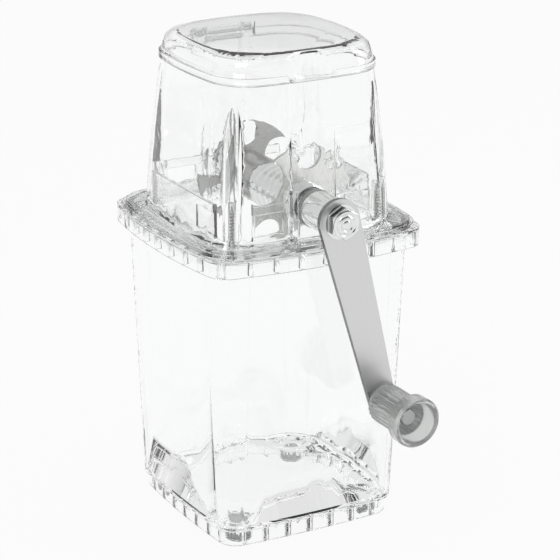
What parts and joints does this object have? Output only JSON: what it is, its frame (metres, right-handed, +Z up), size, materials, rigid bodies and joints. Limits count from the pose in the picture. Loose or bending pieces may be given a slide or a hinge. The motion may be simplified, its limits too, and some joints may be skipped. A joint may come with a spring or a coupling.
{
  "type": "hand-cranked ice crusher",
  "caption": "Clear square tub with a lift-off hopper head, hinged lid and a side crank that turns steel crushing blades.",
  "frame": {"origin": "centre of the tub's foot, on the table", "axes": "+Z up, -Y towards the crank, +Y towards the lid's hinge, the crank leans towards +X at rest"},
  "size_m": [0.1316, 0.1756, 0.2605],
  "materials": {
    "clear_tub": "clear moulded acrylic",
    "clear_base": "clear moulded acrylic",
    "clear_housing": "clear moulded acrylic",
    "clear_lid": "clear moulded acrylic",
    "clear_knob": "clear moulded acrylic",
    "foot_pads": "soft translucent grey",
    "hinge_pin": "ground",
    "screws": "rolled thread",
    "bushes": "clear moulded",
    "shaft": "drawn",
    "blades": "ground",
    "spacers": "polished",
    "hub_tube": "polished",
    "crank_arm": "fine brushed",
    "fixings": "polished",
    "knob_pin": "turned"
  },
  "bodies": {
    "tub": {"ice_tub": "clear_tub", "foot_pad_front_left": "foot_pads", "foot_pad_front_right": "foot_pads", "foot_pad_rear_right": "foot_pads", "foot_pad_rear_left": "foot_pads"},
    "head": {"head_base": "clear_base", "head_housing": "clear_housing", "housing_screws": "screws", "front_bush": "bushes", "rear_bush": "bushes", "lid_hinge_pin": "hinge_pin"},
    "lid": {"lid": "clear_lid"},
    "crank": {"crank_shaft": "shaft", "rear_blade": "blades", "front_blade": "blades", "rear_spacer": "spacers", "drum_spacer": "spacers", "ribbed_spacer": "spacers", "front_spacer": "spacers", "hub_tube": "hub_tube", "crank_arm": "crank_arm", "crank_washer": "fixings", "crank_nut": "fixings", "knob_pin": "knob_pin", "knob_washer": "fixings"},
    "knob": {"crank_knob": "clear_knob"}
  },
  "joints": [
    {"name": "head_lift", "type": "slide", "parent": "tub", "child": "head", "axis": [0, 0, 1], "range_m": [0, 0.1]},
    {"name": "lid_hinge", "type": "hinge", "parent": "head", "child": "lid", "pos_m": [0, 0.05, 0.2493], "axis": [-1, 0, 0], "range_deg": [0, 105]},
    {"name": "crank_turn", "type": "hinge", "parent": "head", "child": "crank", "pos_m": [0, 0, 0.18], "axis": [0, -1, 0], "continuous": true},
    {"name": "knob_spin", "type": "hinge", "parent": "crank", "child": "knob", "pos_m": [0.02738, 0, 0.07781], "axis": [0, -1, 0], "continuous": true}
  ]
}
